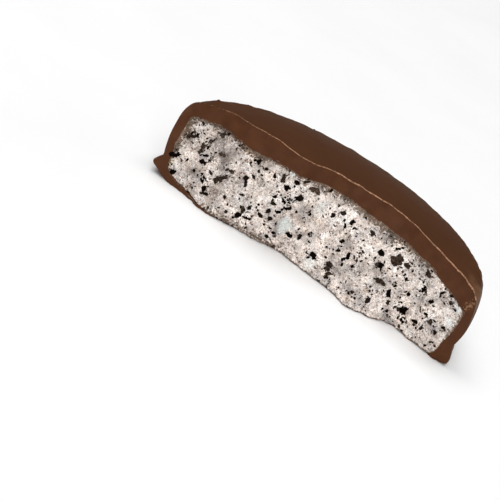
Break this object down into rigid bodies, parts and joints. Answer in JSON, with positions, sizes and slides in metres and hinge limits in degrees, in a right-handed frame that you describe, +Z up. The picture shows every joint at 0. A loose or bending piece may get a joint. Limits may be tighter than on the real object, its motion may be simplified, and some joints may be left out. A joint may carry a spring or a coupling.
{
  "type": "ice cream sandwich half",
  "caption": "Half of a round chocolate-coated ice cream sandwich, broken across to show cookies-and-cream ice cream.",
  "frame": {"origin": "middle of the bounding box's footprint, on the surface that the half lies on", "axes": "+X along the break to the right of a viewer who faces the broken side, +Y from the break towards the whole rim, +Z up through the crown"},
  "size_m": [0.0748, 0.0402, 0.0225],
  "materials": {
    "chocolate": "set milk chocolate, satin outside and dull where it broke",
    "ice_cream": "frozen cookies-and-cream ice cream, icy and grainy, with dark cookie crumbs"
  },
  "bodies": {
    "root": {"chocolate_coating": "chocolate", "ice_cream": "ice_cream"}
  },
  "joints": []
}
